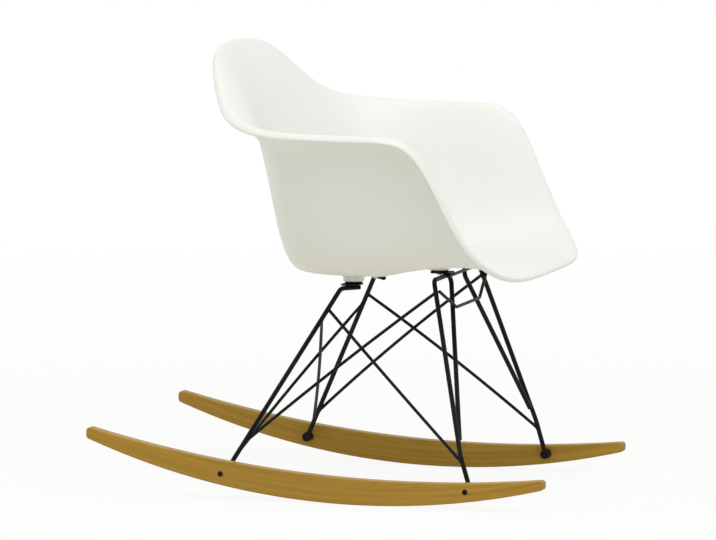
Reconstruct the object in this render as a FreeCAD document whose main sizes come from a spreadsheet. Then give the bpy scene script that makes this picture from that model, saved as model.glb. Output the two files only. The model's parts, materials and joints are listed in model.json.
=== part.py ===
import FreeCAD, Part
import math
import os

import Sketcher
from FreeCAD import Placement, Rotation, Vector

# Moulded rocking armchair: one plastic shell on four rubber mounts, a welded rod base, two wooden runners.
# Millimetres, +Z up, the sitter faces -Y and the sitter's left hand is on +X.
# The origin is on the floor, half way along the runners and on the chair's middle plane.

doc = FreeCAD.newDocument("RockingArmchair")

# Driving dimensions
SIZES = [
    ("runner_length", 810.0, "tip to tip, the chair's overall depth"),
    ("runner_spacing", 477.0, "between the middles of the two runners"),
    ("runner_thickness", 22.0, "across one runner"),
    ("runner_radius", 1320.0, "arc that rolls on the floor"),
    ("contact_y", -83.0, "where the arc touches the floor with the chair at rest"),
    ("runner_depth", 43.5, "height of the section over the contact point"),
    ("rear_tip_depth", 19.5, "height of the section at the rear tip"),
    ("front_tip_depth", 16.5, "height of the section at the front tip"),
    ("runner_edge_round", 2.5, "rounding along the runner's long edges"),
    ("tip_round", 6.0, "rounding of the squared tips"),
    ("rear_bolt_y", 164.0, "rear foot bolt along the chair"),
    ("rear_bolt_z", 42.5, "rear foot bolt above the floor"),
    ("front_bolt_y", -269.0, "front foot bolt along the chair"),
    ("front_bolt_z", 31.0, "front foot bolt above the floor"),
    ("leg_rod", 8.0, "diameter of the leg rod"),
    ("brace_rod", 5.5, "diameter of the brace wire"),
    ("leg_bend", 11.0, "bend radius on the leg rod's middle line"),
    ("boss_diameter", 15.0, "foot boss welded to the end of a leg"),
    ("boss_length", 14.0, "foot boss along its bolt"),
    ("bolt_diameter", 6.0, "foot bolt shank"),
    ("bolt_head_diameter", 9.6, "foot bolt head"),
    ("bolt_head_height", 4.0, "foot bolt head, sunk in the runner's outer face"),
    ("bolt_reach", 11.0, "how far the foot bolt goes into its boss"),
    ("washer_thickness", 1.2, "all washers"),
    ("front_bar_z", 371.0, "middle line of the hairpins' top bars"),
    ("front_bar_y", -176.0, "front bars along the chair"),
    ("front_inner_x", 31.0, "inner bend of a hairpin"),
    ("front_outer_x", 127.0, "outer bend of a hairpin"),
    ("merge_x", 219.5, "where a hairpin's two sides meet, from the middle plane"),
    ("merge_y", -252.0, "the same along the chair"),
    ("merge_z", 89.0, "the same above the floor"),
    ("merge_rise", 24.0, "free end of a hairpin's inner side above the place where its two sides meet"),
    ("rear_bar_drop", 24.5, "rear legs' top bars below the front ones"),
    ("rear_bar_front_x", 67.0, "free end of a rear bar"),
    ("rear_bar_front_y", -25.0, "the same along the chair"),
    ("rear_bend_x", 94.0, "bend at the top of a rear leg"),
    ("rear_bend_y", 0.0, "the same along the chair"),
    ("side_foot_rise", 47.5, "rising side brace's rear end above the rear foot bolt"),
    ("side_top_drop", 20.0, "its front end below the front bars"),
    ("fall_top_drop", 34.0, "falling side brace's rear end below the rear bars"),
    ("fall_foot_drop", 14.0, "its front end below the place where the hairpin's sides meet"),
    ("side_arch", 10.0, "how far the rising brace arches up over the falling one"),
    ("cross_top_drop", 51.0, "rear cross braces' upper ends below the rear bars"),
    ("cross_foot_rise", 27.5, "their lower ends above the rear foot bolts"),
    ("tie_end_drop", 18.0, "tie bar's ends below the front bars"),
    ("tie_dip_drop", 52.0, "tie bar's middle below the front bars"),
    ("tie_bend", 14.0, "bend radius on the tie bar's middle line"),
    ("rail_overlap", 34.0, "how far the cross rail lies along each hairpin's top bar"),
    ("plate_long", 36.0, "mount plates, across the bar that carries them"),
    ("plate_wide", 32.0, "mount plates, along the bar"),
    ("plate_corner", 6.0, "rounding of the mount plates' corners"),
    ("plate_thickness", 2.0, "mount plates"),
    ("pad_thickness", 4.0, "rubber mounts"),
    ("pad_diameter", 30.0, "rubber mounts"),
    ("shell_boss_diameter", 36.0, "moulded bosses under the shell"),
    ("screw_diameter", 5.0, "mount screws"),
    ("screw_head_diameter", 9.2, "mount screw heads"),
    ("screw_head_height", 3.2, "mount screw heads"),
    ("screw_washer_diameter", 11.2, "mount washers"),
    ("insert_diameter", 8.4, "threaded inserts"),
    ("insert_length", 6.0, "threaded inserts"),
    ("front_mount_x", 52.0, "front mounts from the middle plane"),
    ("front_mount_y", -162.5, "front mounts along the chair"),
    ("rear_mount_x", 60.0, "rear mounts from the middle plane"),
    ("rear_mount_y", -12.0, "rear mounts along the chair"),
    ("seat_drop", 5.0, "middle of the seat's floor below the front bars' middle line"),
    ("wall", 5.0, "thickness of the moulded shell"),
    ("fit_gap", 0.15, "clearance all round a pin in its hole"),
    ("weld_gap", 0.1, "between two rods that lie against each other"),
]

sheet = doc.addObject("Spreadsheet::Sheet", "Sizes")
for row, (alias, value, note) in enumerate(SIZES, start=1):
    sheet.set("A%d" % row, note)
    sheet.set("B%d" % row, str(value))
    sheet.setAlias("B%d" % row, alias)
doc.recompute()


def size(alias):
    """The value of one driving dimension."""
    return float(getattr(sheet, alias))


PARTS = []
SIDES = (("left", 1), ("right", -1))
LEG_RADIUS = size("leg_rod") / 2
BRACE_RADIUS = size("brace_rod") / 2


def keep(shape_object, label):
    """Name a finished sub-part and list it for export."""
    shape_object.Label = label
    PARTS.append(shape_object)
    return shape_object


def mirrored(point, side):
    """A point of the left half taken to the given side."""
    return Vector(point.x * side, point.y, point.z)


# Rods
def bent_path(points, bend_radius):
    """Straight runs through the points, joined by tangent arcs."""
    edges = []
    start = points[0]
    for before, corner, after in zip(points, points[1:], points[2:]):
        to_before = (before - corner).normalize()
        to_after = (after - corner).normalize()
        half_angle = to_before.getAngle(to_after) / 2
        setback = bend_radius / math.tan(half_angle)
        centre = corner + (to_before + to_after).normalize() * (bend_radius / math.sin(half_angle))
        first = corner + to_before * setback
        last = corner + to_after * setback
        middle = centre + (corner - centre).normalize() * bend_radius
        edges.append(Part.LineSegment(start, first).toShape())
        edges.append(Part.Arc(first, middle, last).toShape())
        start = last
    edges.append(Part.LineSegment(start, points[-1]).toShape())
    return Part.Wire(edges)


def rod(name, path, diameter_alias):
    """A round rod swept along a path, its diameter bound to the sheet."""
    spine = doc.addObject("Part::Feature", name + "Path")
    spine.Shape = path
    first_edge = path.Edges[0]
    profile = doc.addObject("Part::Circle", name + "Profile")
    profile.setExpression("Radius", "Sizes.%s / 2" % diameter_alias)
    begin = first_edge.valueAt(first_edge.FirstParameter)
    along = first_edge.tangentAt(first_edge.FirstParameter)
    profile.Placement = Placement(begin, Rotation(Vector(0, 0, 1), along))
    sweep = doc.addObject("Part::Sweep", name + "Sweep")
    sweep.Sections = [profile]
    sweep.Spine = (spine, ["Edge%d" % (i + 1) for i in range(len(path.Edges))])
    sweep.Solid = True
    sweep.Frenet = False
    return sweep


def cut_by(name, base, tools):
    """The base with every tool taken out of it."""
    tool = tools[0]
    if len(tools) > 1:
        tool = doc.addObject("Part::MultiFuse", name + "Tools")
        tool.Shapes = tools
    cut = doc.addObject("Part::Cut", name)
    cut.Base = base
    cut.Tool = tool
    return cut


def cylinder(name, radius_expression, height_expression, base, direction):
    """A round bar or disc, both sizes bound to the sheet."""
    bar = doc.addObject("Part::Cylinder", name)
    bar.setExpression("Radius", radius_expression)
    bar.setExpression("Height", height_expression)
    bar.Placement = Placement(base, Rotation(Vector(0, 0, 1), direction))
    return bar


def ring(name, outer_expression, inner_expression, height_expression, base, direction):
    """A disc with a round hole through it."""
    outer = cylinder(name + "Outer", outer_expression, height_expression, base, direction)
    inner = cylinder(name + "Bore", inner_expression, height_expression, base, direction)
    return cut_by(name, outer, [inner])


def group(label, members):
    """Identical small pieces that share one node."""
    together = doc.addObject("Part::Compound", label.title().replace("_", ""))
    together.Links = members
    return keep(together, label)


# Runners
RUNNER_MIDDLE = size("runner_spacing") / 2
INNER_FACE = RUNNER_MIDDLE - size("runner_thickness") / 2
OUTER_FACE = INNER_FACE + size("runner_thickness")
HALF_LENGTH = size("runner_length") / 2
BOLTS = (
    ("front", size("front_bolt_y"), size("front_bolt_z")),
    ("rear", size("rear_bolt_y"), size("rear_bolt_z")),
)


def floor_arc_z(y):
    """Height of the rolling arc at a place along the chair."""
    run = y - size("contact_y")
    return size("runner_radius") - math.sqrt(size("runner_radius") ** 2 - run ** 2)


def sketch_on(body, role, name):
    """A sketch on one of a body's own origin planes."""
    plane = [f for f in body.Origin.OriginFeatures if f.Role == role][0]
    sketch = body.newObject("Sketcher::SketchObject", name)
    sketch.AttachmentSupport = [(plane, "")]
    sketch.MapMode = "FlatFace"
    return sketch


def shallow_arc(front, through, rear):
    """The lower arc of a circle, from its front end through a middle point to its rear end."""
    arc = Part.Circle(front, through, rear)
    to_front = front - arc.Center
    to_rear = rear - arc.Center
    circle = Part.Circle(arc.Center, Vector(0, 0, 1), arc.Radius)
    return Part.ArcOfCircle(circle, math.atan2(to_front.y, to_front.x), math.atan2(to_rear.y, to_rear.x))


def runner(side_name, side):
    """A bent wooden runner: arc below, flatter arc above, squared tips, two sunk bolt holes."""
    label = "rocker_runner_" + side_name
    body = doc.addObject("PartDesign::Body", label.title().replace("_", ""))
    sketch = sketch_on(body, "YZ_Plane", label + "_outline")
    rear_low = Vector(HALF_LENGTH, floor_arc_z(HALF_LENGTH), 0)
    front_low = Vector(-HALF_LENGTH, floor_arc_z(-HALF_LENGTH), 0)
    rear_high = rear_low + Vector(0, size("rear_tip_depth"), 0)
    front_high = front_low + Vector(0, size("front_tip_depth"), 0)
    low = Vector(size("contact_y"), 0, 0)
    high = Vector(size("contact_y"), size("runner_depth"), 0)
    sketch.addGeometry(shallow_arc(front_low, low, rear_low), False)
    sketch.addGeometry(Part.LineSegment(rear_low, rear_high), False)
    sketch.addGeometry(shallow_arc(front_high, high, rear_high), False)
    sketch.addGeometry(Part.LineSegment(front_high, front_low), False)
    pad = body.newObject("PartDesign::Pad", label + "_board")
    pad.Profile = sketch
    pad.setExpression("Length", "Sizes.runner_thickness")
    pad.Midplane = True
    body.Placement = Placement(Vector(side * RUNNER_MIDDLE, 0, 0), Rotation())
    doc.recompute()
    tips = []
    for index, edge in enumerate(pad.Shape.Edges, start=1):
        ends = [v.Point for v in edge.Vertexes]
        across = abs(ends[0].x - ends[-1].x)
        if across > size("runner_thickness") / 2:
            tips.append("Edge%d" % index)
    rounded = body.newObject("PartDesign::Fillet", label + "_tips")
    rounded.Base = (pad, tips)
    rounded.setExpression("Radius", "Sizes.tip_round")
    doc.recompute()
    holes = sketch_on(body, "YZ_Plane", label + "_holes")
    hole_radius = size("bolt_diameter") / 2 + size("fit_gap")
    for end, y, z in BOLTS:
        holes.addGeometry(Part.Circle(Vector(y, z, 0), Vector(0, 0, 1), hole_radius), False)
    bore = body.newObject("PartDesign::Pocket", label + "_bores")
    bore.Profile = holes
    bore.Type = "ThroughAll"
    bore.Midplane = True
    doc.recompute()
    sinks = sketch_on(body, "YZ_Plane", label + "_sinks")
    sink_radius = size("bolt_head_diameter") / 2 + size("fit_gap")
    for end, y, z in BOLTS:
        sinks.addGeometry(Part.Circle(Vector(y, z, 0), Vector(0, 0, 1), sink_radius), False)
    sinks.setExpression("AttachmentOffset.Base.z",
                        "%d * (Sizes.runner_thickness / 2 - Sizes.bolt_head_height)" % side)
    sink = body.newObject("PartDesign::Pocket", label + "_sunk_heads")
    sink.Profile = sinks
    sink.Type = "ThroughAll"
    sink.Reversed = side > 0
    doc.recompute()
    long_edges = []
    for index, edge in enumerate(sink.Shape.Edges, start=1):
        box = edge.BoundBox
        if box.YLength > HALF_LENGTH:
            long_edges.append("Edge%d" % index)
    eased = body.newObject("PartDesign::Fillet", label + "_eased_edges")
    eased.Base = (sink, long_edges)
    eased.setExpression("Radius", "Sizes.runner_edge_round")
    body.Tip = eased
    return keep(body, label)


for side_name, side in SIDES:
    runner(side_name, side)

# Foot bosses, bolts and washers
BOSS_END = INNER_FACE - size("washer_thickness")
BOSS_MIDDLE = BOSS_END - size("boss_length") / 2
WASHER_RIM = 1.0
SOCKET_SHARE = 0.4
SOCKET_DEEP_SHARE = 0.6
HEXAGON = 6
foot_washers = []
foot_bolts = []
boss_blanks = {}
for side_name, side in SIDES:
    outward = Vector(side, 0, 0)
    for end, y, z in BOLTS:
        tag = end.title() + side_name.title()
        boss_start = Vector(side * (BOSS_END - size("boss_length")), y, z)
        boss = ring("FootBoss" + tag, "Sizes.boss_diameter / 2", "Sizes.bolt_diameter / 2 + Sizes.fit_gap",
                    "Sizes.boss_length", boss_start, outward)
        boss_blanks[end, side_name] = boss.Base
        keep(boss, "foot_boss_%s_%s" % (end, side_name))
        washer_start = Vector(side * BOSS_END, y, z)
        foot_washers.append(ring("FootWasher" + tag, "Sizes.boss_diameter / 2 + %g" % WASHER_RIM,
                                 "Sizes.bolt_diameter / 2 + Sizes.fit_gap", "Sizes.washer_thickness",
                                 washer_start, outward))
        shank_length = ("Sizes.runner_thickness - Sizes.bolt_head_height + Sizes.washer_thickness"
                        " + Sizes.bolt_reach")
        shank_start = Vector(side * (BOSS_END - size("bolt_reach")), y, z)
        shank = cylinder("BoltShank" + tag, "Sizes.bolt_diameter / 2", shank_length, shank_start, outward)
        head_start = Vector(side * (OUTER_FACE - size("bolt_head_height")), y, z)
        head = cylinder("BoltHead" + tag, "Sizes.bolt_head_diameter / 2", "Sizes.bolt_head_height",
                        head_start, outward)
        socket = doc.addObject("Part::Prism", "BoltSocket" + tag)
        socket.Polygon = HEXAGON
        socket.setExpression("Circumradius", "Sizes.bolt_diameter * %g" % SOCKET_SHARE)
        socket.setExpression("Height", "Sizes.bolt_head_height * %g" % SOCKET_DEEP_SHARE)
        socket.Placement = Placement(Vector(side * OUTER_FACE, y, z), Rotation(Vector(0, 0, 1), outward * -1))
        whole = doc.addObject("Part::MultiFuse", "BoltBlank" + tag)
        whole.Shapes = [shank, head]
        foot_bolts.append(cut_by("Bolt" + tag, whole, [socket]))
group("foot_bolts", foot_bolts)
group("foot_washers", foot_washers)

# Legs
REAR_BAR_Z = size("front_bar_z") - size("rear_bar_drop")
front_inner = Vector(size("front_inner_x"), size("front_bar_y"), size("front_bar_z"))
front_outer = Vector(size("front_outer_x"), size("front_bar_y"), size("front_bar_z"))
merge = Vector(size("merge_x"), size("merge_y"), size("merge_z"))
front_foot = Vector(BOSS_MIDDLE, size("front_bolt_y"), size("front_bolt_z"))
rear_end = Vector(size("rear_bar_front_x"), size("rear_bar_front_y"), REAR_BAR_Z)
rear_bend = Vector(size("rear_bend_x"), size("rear_bend_y"), REAR_BAR_Z)
rear_foot = Vector(BOSS_MIDDLE, size("rear_bolt_y"), size("rear_bolt_z"))


def on_line(first, last, z):
    """The point of a straight rod at a given height."""
    return first + (last - first) * ((z - first.z) / (last.z - first.z))


def hairpin_points():
    """Inner end beside the outer side, up, across the top and down to the foot."""
    outer_near_end = on_line(front_outer, merge, merge.z + size("merge_rise"))
    apart = Vector(size("leg_rod") + size("weld_gap"), 0, 0)
    inner_end = outer_near_end - apart
    return [inner_end, front_inner, front_outer, merge, front_foot]


legs = {}
for side_name, side in SIDES:
    points = [mirrored(p, side) for p in hairpin_points()]
    hairpin = rod("Hairpin" + side_name.title(), bent_path(points, size("leg_bend")), "leg_rod")
    front = cut_by("FrontHairpin" + side_name.title(), hairpin, [boss_blanks["front", side_name]])
    legs["front", side_name] = keep(front, "front_hairpin_leg_" + side_name)
    points = [mirrored(p, side) for p in (rear_end, rear_bend, rear_foot)]
    bent_rod = rod("Rear" + side_name.title(), bent_path(points, size("leg_bend")), "leg_rod")
    rear = cut_by("RearLeg" + side_name.title(), bent_rod, [boss_blanks["rear", side_name]])
    legs["rear", side_name] = keep(rear, "rear_leg_" + side_name)


# Braces
def closest_on(first, last, other_first, other_last):
    """How far along each of two straight lines they come closest, as fractions."""
    one = last - first
    two = other_last - other_first
    gap = first - other_first
    a = one.dot(one)
    b = one.dot(two)
    c = two.dot(two)
    d = one.dot(gap)
    e = two.dot(gap)
    scale = a * c - b * b
    return (b * e - c * d) / scale, (a * e - b * d) / scale


def crossing_arcs(first_pair, second_pair, apart, lift):
    """Two slightly bowed wires that lie against each other where they cross, the first arched up by the lift."""
    part_one, part_two = closest_on(*first_pair, *second_pair)
    direction = (first_pair[1] - first_pair[0]).cross(second_pair[1] - second_pair[0]).normalize()
    here = first_pair[0] + (first_pair[1] - first_pair[0]) * part_one
    there = second_pair[0] + (second_pair[1] - second_pair[0]) * part_two
    present = (there - here).dot(direction)
    if present < 0:
        direction = direction * -1
        present = -present
    paths = []
    arch = Vector(0, 0, lift)
    arch -= direction * arch.dot(direction)
    for (first, last), part, sign, rise in ((first_pair, part_one, -1, arch), (second_pair, part_two, 1, Vector())):
        middle_shift = sign * (apart - present) / 2 / (4 * part * (1 - part))
        middle = (first + last) / 2 + direction * middle_shift + rise
        paths.append(Part.Wire([Part.Arc(first, middle, last).toShape()]))
    return paths


SIDE_LOW_Z = size("rear_bolt_z") + size("side_foot_rise")
SIDE_HIGH_Z = size("front_bar_z") - size("side_top_drop")
FALL_HIGH_Z = REAR_BAR_Z - size("fall_top_drop")
FALL_LOW_Z = size("merge_z") - size("fall_foot_drop")
CROSS_HIGH_Z = REAR_BAR_Z - size("cross_top_drop")
CROSS_LOW_Z = size("rear_bolt_z") + size("cross_foot_rise")
TOUCH = size("brace_rod") + size("weld_gap")

for side_name, side in SIDES:
    rear_line = (mirrored(rear_bend, side), mirrored(rear_foot, side))
    front_line = (mirrored(front_outer, side), mirrored(merge, side))
    foot_line = (mirrored(merge, side), mirrored(front_foot, side))
    rising = (on_line(*rear_line, SIDE_LOW_Z), on_line(*front_line, SIDE_HIGH_Z))
    falling = (on_line(*rear_line, FALL_HIGH_Z), on_line(*foot_line, FALL_LOW_Z))
    paths = crossing_arcs(rising, falling, TOUCH, size("side_arch"))
    for kind, path in zip(("rising", "falling"), paths):
        wire = rod("Brace" + kind.title() + side_name.title(), path, "brace_rod")
        brace = cut_by("SideBrace" + kind.title() + side_name.title(), wire,
                       [legs["rear", side_name], legs["front", side_name]])
        keep(brace, "side_brace_%s_%s" % (kind, side_name))

cross_pairs = []
for side_name, side in SIDES:
    high_line = (mirrored(rear_bend, side), mirrored(rear_foot, side))
    low_line = (mirrored(rear_bend, -side), mirrored(rear_foot, -side))
    cross_pairs.append((on_line(*high_line, CROSS_HIGH_Z), on_line(*low_line, CROSS_LOW_Z)))
for (side_name, side), path in zip(SIDES, crossing_arcs(cross_pairs[0], cross_pairs[1], TOUCH, 0)):
    wire = rod("CrossBrace" + side_name.title(), path, "brace_rod")
    brace = cut_by("RearCrossBrace" + side_name.title(), wire, [legs["rear", "left"], legs["rear", "right"]])
    keep(brace, "rear_cross_brace_from_" + side_name)

# Front tie bar on the front of the hairpins, and the rail that joins their top bars
TIE_END_Z = size("front_bar_z") - size("tie_end_drop")
TIE_DIP_Z = size("front_bar_z") - size("tie_dip_drop")
hairpins = [legs["front", "left"], legs["front", "right"]]
in_front = Vector(0, -(LEG_RADIUS + BRACE_RADIUS + size("weld_gap")), 0)
tie_end = on_line(front_outer, merge, TIE_END_Z) + in_front
tie_dip = on_line(front_inner, hairpin_points()[0], TIE_DIP_Z) + in_front
tie_points = [tie_end, tie_dip, mirrored(tie_dip, -1), mirrored(tie_end, -1)]
tie = rod("FrontTie", bent_path(tie_points, size("tie_bend")), "brace_rod")
keep(cut_by("FrontTieBar", tie, hairpins), "front_tie_bar")

rail_half = size("front_inner_x") + size("rail_overlap")
rail_start = Vector(-rail_half, size("front_bar_y"), size("front_bar_z")) + in_front
rail = cylinder("FrontRail", "Sizes.brace_rod / 2", "2 * (Sizes.front_inner_x + Sizes.rail_overlap)",
                rail_start, Vector(1, 0, 0))
keep(cut_by("FrontCrossRail", rail, hairpins), "front_cross_rail")

# Mounts between the base and the shell
MOUNTS = (
    ("front", size("front_mount_x"), size("front_mount_y"), size("front_bar_z") + LEG_RADIUS),
    ("rear", size("rear_mount_x"), size("rear_mount_y"), REAR_BAR_Z + LEG_RADIUS),
)
PLATE_SHIFT = {"front": 5.0, "rear": 9.0}
THREAD_SHORT = 1.0
UPRIGHT = 0.01
inserts = []
screws = []
screw_washers = []
up = Vector(0, 0, 1)


def mount_plate(end, side_name, side, x, y, z):
    """A small welded plate with rounded corners and one hole, reaching over the bar that carries it."""
    label = "mount_plate_%s_%s" % (end, side_name)
    body = doc.addObject("PartDesign::Body", label.title().replace("_", ""))
    sketch = sketch_on(body, "XY_Plane", label + "_outline")
    toward_bar = Vector(0, -PLATE_SHIFT[end], 0)
    half = Vector(size("plate_wide") / 2, size("plate_long") / 2, 0)
    if end == "rear":
        toward_bar = Vector(side * PLATE_SHIFT[end], 0, 0)
        half = Vector(size("plate_long") / 2, size("plate_wide") / 2, 0)
    signs = ((-1, -1), (1, -1), (1, 1), (-1, 1))
    corners = [toward_bar + Vector(sx * half.x, sy * half.y, 0) for sx, sy in signs]
    for first, last in zip(corners, corners[1:] + corners[:1]):
        sketch.addGeometry(Part.LineSegment(first, last), False)
    hole = Part.Circle(Vector(0, 0, 0), Vector(0, 0, 1), size("screw_diameter") / 2 + size("fit_gap"))
    sketch.addGeometry(hole, False)
    pad = body.newObject("PartDesign::Pad", label + "_sheet")
    pad.Profile = sketch
    pad.setExpression("Length", "Sizes.plate_thickness")
    body.Placement = Placement(Vector(x, y, z), Rotation())
    doc.recompute()
    uprights = []
    for index, edge in enumerate(pad.Shape.Edges, start=1):
        box = edge.BoundBox
        if box.XLength < UPRIGHT and box.YLength < UPRIGHT:
            uprights.append("Edge%d" % index)
    rounded = body.newObject("PartDesign::Fillet", label + "_corners")
    rounded.Base = (pad, uprights)
    rounded.setExpression("Radius", "Sizes.plate_corner")
    body.Tip = rounded
    return keep(body, label)


for side_name, side in SIDES:
    for end, mount_x, mount_y, bar_top in MOUNTS:
        tag = end.title() + side_name.title()
        axis = Vector(side * mount_x, mount_y, 0)
        mount_plate(end, side_name, side, axis.x, axis.y, bar_top)
        pad_bottom = bar_top + size("plate_thickness")
        boss_bottom = pad_bottom + size("pad_thickness")
        pad_ring = ring("Pad" + tag, "Sizes.pad_diameter / 2", "Sizes.screw_diameter / 2 + Sizes.fit_gap",
                        "Sizes.pad_thickness", axis + up * pad_bottom, up)
        keep(pad_ring, "rubber_mount_%s_%s" % (end, side_name))
        inserts.append(ring("Insert" + tag, "Sizes.insert_diameter / 2", "Sizes.screw_diameter / 2 + Sizes.fit_gap",
                            "Sizes.insert_length", axis + up * boss_bottom, up))
        washer_bottom = bar_top - size("washer_thickness")
        screw_washers.append(ring("ScrewWasher" + tag, "Sizes.screw_washer_diameter / 2",
                                  "Sizes.screw_diameter / 2 + Sizes.fit_gap", "Sizes.washer_thickness",
                                  axis + up * washer_bottom, up))
        stack = "Sizes.washer_thickness + Sizes.plate_thickness + Sizes.pad_thickness + Sizes.insert_length"
        shank = cylinder("ScrewShank" + tag, "Sizes.screw_diameter / 2", "%s - %g" % (stack, THREAD_SHORT),
                         axis + up * washer_bottom, up)
        head = cylinder("ScrewHead" + tag, "Sizes.screw_head_diameter / 2", "Sizes.screw_head_height",
                        axis + up * (washer_bottom - size("screw_head_height")), up)
        screw = doc.addObject("Part::MultiFuse", "Screw" + tag)
        screw.Shapes = [shank, head]
        screws.append(screw)
group("mount_screws", screws)
group("mount_washers", screw_washers)
group("shell_threaded_inserts", inserts)

# Shell
# Each station is a place round the bowl, from the middle of the front lip to the middle of the back's top:
# where the floor turns into the wall, the crown of the rim, how wide the rim rolls outwards,
# how far the wall bows out (or in) low down and high up, and how early the floor starts to rise.
# Heights are above the middle of the seat's floor.
STATIONS = [
    (Vector(0, -262, 37), Vector(0, -350, 19), 9.0, -4.0, -3.0, 0.90),
    (Vector(105, -258, 37), Vector(122, -350, 17), 9.0, -4.0, -3.0, 0.90),
    (Vector(172, -244, 39), Vector(224, -331, 24), 11.0, -4.0, -3.0, 0.85),
    (Vector(196, -210, 39), Vector(266, -282, 72), 14.0, 0.0, 0.0, 0.75),
    (Vector(203, -170, 34), Vector(272, -239, 168), 18.0, 4.0, 0.0, 0.65),
    (Vector(205, -125, 28), Vector(284, -190, 267), 22.0, 8.0, -4.0, 0.60),
    (Vector(205, -60, 23), Vector(292, -110, 266), 22.0, 8.0, -4.0, 0.60),
    (Vector(203, 0, 22), Vector(293, 0, 267), 22.0, 8.0, -4.0, 0.60),
    (Vector(190, 40, 22), Vector(280, 84, 269), 23.0, 0.0, -20.0, 0.60),
    (Vector(158, 68, 20), Vector(244, 142, 287), 23.0, -10.0, -46.0, 0.60),
    (Vector(118, 86, 16), Vector(196, 174, 331), 18.0, -16.0, -44.0, 0.60),
    (Vector(72, 100, 14), Vector(144, 206, 381), 13.0, -16.0, -30.0, 0.60),
    (Vector(0, 108, 14), Vector(0, 227, 396), 10.0, -16.0, -24.0, 0.60),
]
SEAT_MIDDLE = Vector(0, -20, size("front_bar_z") - size("seat_drop"))
INNER_RING = 0.16
MIDDLE_RING = 0.36
OUTER_RING = 0.7
MIDDLE_RISE = 0.35
LOW_WALL = 0.36
HIGH_WALL = 0.76
CREST_OUT = 0.55
CREST_UP = 1.5
LIP_DROP = 0.12
ROOT_OUT = 1.3
CORNER_OUT = 1.15


def full_round(half):
    """Left-half stations followed by their mirror images, front and back middles once each."""
    other = [(mirrored(floor, -1), mirrored(crown, -1), *widths) for floor, crown, *widths in half[-2:0:-1]]
    return half + other


def seat_ring(floor, share, rise):
    """A point on the way from the seat's middle to a floor corner, raised by a share of the corner's height."""
    point = SEAT_MIDDLE + (floor - SEAT_MIDDLE) * share
    point.z = SEAT_MIDDLE.z + (floor.z - SEAT_MIDDLE.z) * rise
    return point


def shell_rows():
    """Rows of control points, from the seat's middle over the rim and back underneath."""
    stations = full_round(STATIONS)
    count = len(stations)
    wall = size("wall")
    down = Vector(0, 0, -wall)
    lift = Vector(0, 0, SEAT_MIDDLE.z)
    columns = []
    for index, (low_corner, high_crown, roll, low_bow, high_bow, rise) in enumerate(stations):
        floor = low_corner + lift
        crown = high_crown + lift
        before = stations[index - 1][1]
        after = stations[(index + 1) % count][1]
        up_wall = (crown - floor).normalize()
        outward = up_wall.cross(before - after).normalize()
        near = seat_ring(floor, INNER_RING, 0)
        middle = seat_ring(floor, MIDDLE_RING, rise * MIDDLE_RISE)
        outer = seat_ring(floor, OUTER_RING, rise)
        low_wall = floor + (crown - floor) * LOW_WALL + outward * low_bow
        high_wall = floor + (crown - floor) * HIGH_WALL + outward * high_bow
        lip_top = crown + outward * (roll * CREST_OUT) + up_wall * CREST_UP
        lip_end = crown + outward * roll - up_wall * (roll * LIP_DROP)
        lip_under = lip_end - up_wall * wall
        lip_root = crown + outward * (wall * ROOT_OUT) - up_wall * (roll * LIP_DROP + wall)
        corner = floor + (outward + Vector(0, 0, -1)).normalize() * (wall * CORNER_OUT)
        columns.append([
            near, middle, outer, floor, low_wall, high_wall, crown, lip_top, lip_end, lip_under, lip_root,
            high_wall + outward * wall, low_wall + outward * wall, corner,
            outer + down, middle + down, near + down,
        ])
    return [list(row) for row in zip(*columns)]


def shell_surface():
    """One smooth surface, closed round the bowl."""
    rows = shell_rows()
    along = len(rows)
    around = len(rows[0])
    degree = 3
    along_knots = [float(i) for i in range(along - degree + 1)]
    along_mults = [degree + 1] + [1] * (len(along_knots) - 2) + [degree + 1]
    around_knots = [float(i) for i in range(around + 1)]
    around_mults = [1] * (around + 1)
    surface = Part.BSplineSurface()
    surface.buildFromPolesMultsKnots(rows, along_mults, around_mults, along_knots, around_knots,
                                     False, True, degree, degree)
    return surface


def closed_shell():
    """Sewn and turned the right way round."""
    surface = shell_surface()
    skin = surface.toShape()
    faces = [skin]
    first, last, begin, end = surface.bounds()
    for u in (first, last):
        rim = surface.uIso(u).toShape(begin, end)
        faces.append(Part.Face(Part.Wire([rim])))
    shell = Part.makeShell(faces)
    shell.sewShape()
    solid = Part.makeSolid(shell)
    if solid.Volume < 0:
        solid.reverse()
    return solid


def wall_middle(bowl, x, y):
    """The middle of the floor's thickness over a place."""
    needle = Part.LineSegment(Vector(x, y, 0), Vector(x, y, SEAT_MIDDLE.z + SEARCH_HEIGHT)).toShape()
    inside = bowl.common(needle)
    low = inside.BoundBox.ZMin
    high = inside.BoundBox.ZMax
    return Vector(x, y, (low + high) / 2)


def shell_boss(bowl, x, y, bottom):
    """A round boss that ends inside the wall, its top cut to the slope of the floor."""
    reach = size("shell_boss_diameter") / 4
    middle = wall_middle(bowl, x, y)
    along = wall_middle(bowl, x, y + reach) - wall_middle(bowl, x, y - reach)
    across = wall_middle(bowl, x + reach, y) - wall_middle(bowl, x - reach, y)
    slope = Rotation(Vector(0, 0, 1), across.cross(along))
    post = Part.makeCylinder(size("shell_boss_diameter") / 2, middle.z - bottom + BOSS_SPARE, Vector(x, y, bottom))
    side_length = 4 * BOSS_SPARE
    above = Part.makeBox(side_length, side_length, side_length, Vector(-side_length / 2, -side_length / 2, 0))
    above.Placement = Placement(middle, slope)
    return post.cut(above)


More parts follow.
